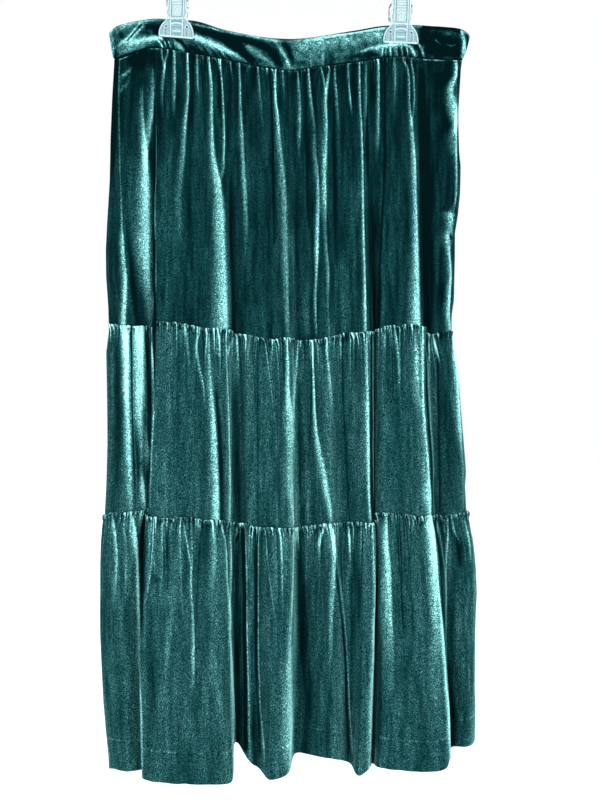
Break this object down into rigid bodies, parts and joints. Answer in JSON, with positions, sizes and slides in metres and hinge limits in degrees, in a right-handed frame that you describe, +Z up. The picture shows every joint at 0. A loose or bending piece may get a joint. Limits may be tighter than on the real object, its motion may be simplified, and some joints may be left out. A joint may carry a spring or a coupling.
{
  "type": "tiered maxi skirt on clip hanger",
  "caption": "Long velvet skirt in gathered tiers with a flat waistband, hung flat by its waist from a clear clip hanger with a wire hook.",
  "frame": {"origin": "inside of the hanger hook's crown, where a rail carries it", "axes": "+Z up, -Y towards the skirt's front, +X to the right seen from the front"},
  "size_m": [0.4353, 0.107, 1.0371],
  "materials": {
    "velvet": "dark green-blue velvet, crushed pile with a pale mint sheen along the folds",
    "band_velvet": "the same velvet, pressed flat and mottled",
    "clear_plastic": "clear moulded plastic with a faint blue cast, glossy",
    "spring_steel": "dull grey spring steel",
    "hook_chrome": "bright plated wire"
  },
  "bodies": {
    "root": {"waistband_front": "band_velvet", "waistband_back": "band_velvet", "upper_tier_front": "velvet", "upper_tier_back": "velvet", "middle_tier_front": "velvet", "middle_tier_back": "velvet", "lower_tier_front": "velvet", "lower_tier_back": "velvet", "hanger_bar": "clear_plastic", "hanger_hook": "hook_chrome", "clip_left_jaw_front": "clear_plastic", "clip_left_jaw_back": "clear_plastic", "clip_left_spring_left": "spring_steel", "clip_left_spring_right": "spring_steel", "clip_right_jaw_front": "clear_plastic", "clip_right_jaw_back": "clear_plastic", "clip_right_spring_left": "spring_steel", "clip_right_spring_right": "spring_steel"}
  },
  "joints": []
}
